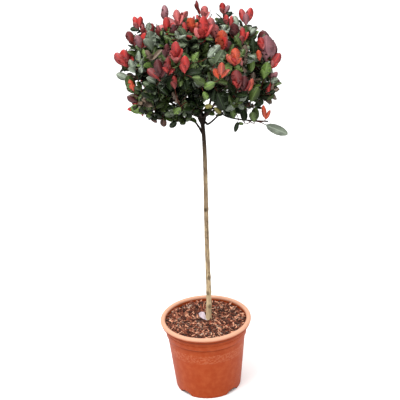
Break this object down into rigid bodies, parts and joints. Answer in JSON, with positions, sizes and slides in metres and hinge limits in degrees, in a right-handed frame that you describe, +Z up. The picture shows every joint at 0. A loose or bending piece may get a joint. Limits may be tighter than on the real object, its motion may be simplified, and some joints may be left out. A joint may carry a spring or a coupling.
{
  "type": "potted red robin photinia",
  "caption": "Small mop-headed evergreen shrub on one straight clear stem, with glossy green leaves and red young shoots, in a round container pot filled with bark compost.",
  "frame": {"origin": "middle of the flat underside of the pot", "axes": "+Z up along the stem, -Y towards the front of the plant, +X to its right-hand side seen from the front"},
  "size_m": [0.3957, 0.3843, 1.0347],
  "materials": {
    "pot_plastic": "terracotta coloured moulded plastic, satin, faintly dimpled below the collar",
    "compost": "loose bark chips, matt",
    "pale_wood": "weathered pale chip",
    "bark": "young grey-brown bark with old leaf scars",
    "foliage": "glossy leathery leaves, dark green, the young ones red"
  },
  "bodies": {
    "root": {"back_high_leaves": "foliage", "back_high_limb": "bark", "back_leaves": "foliage", "back_left_leaves": "foliage", "back_left_limb": "bark", "back_limb": "bark", "back_low_leaves": "foliage", "back_low_left_leaves": "foliage", "back_low_left_limb": "bark", "back_low_limb": "bark", "back_low_right_leaves": "foliage", "back_low_right_limb": "bark", "back_right_leaves": "foliage", "back_right_limb": "bark", "compost": "compost", "front_leaves": "foliage", "front_limb": "bark", "front_low_leaves": "foliage", "front_low_limb": "bark", "front_low_right_leaves": "foliage", "front_low_right_limb": "bark", "front_right_leaves": "foliage", "front_right_limb": "bark", "left_bottom_leaves": "foliage", "left_bottom_limb": "bark", "left_front_leaves": "foliage", "left_front_limb": "bark", "left_high_leaves": "foliage", "left_high_limb": "bark", "left_leaves": "foliage", "left_limb": "bark", "left_low_leaves": "foliage", "left_low_limb": "bark", "pale_chip": "pale_wood", "pot": "pot_plastic", "right_high_leaves": "foliage", "right_high_limb": "bark", "right_leaves": "foliage", "right_limb": "bark", "right_low_leaves": "foliage", "right_low_limb": "bark", "right_stray_leaves": "foliage", "right_stray_limb": "bark", "top_front_leaves": "foliage", "top_front_limb": "bark", "top_leaves": "foliage", "top_left_leaves": "foliage", "top_left_limb": "bark", "top_limb": "bark", "top_right_leaves": "foliage", "top_right_limb": "bark", "trunk": "bark"}
  },
  "joints": []
}
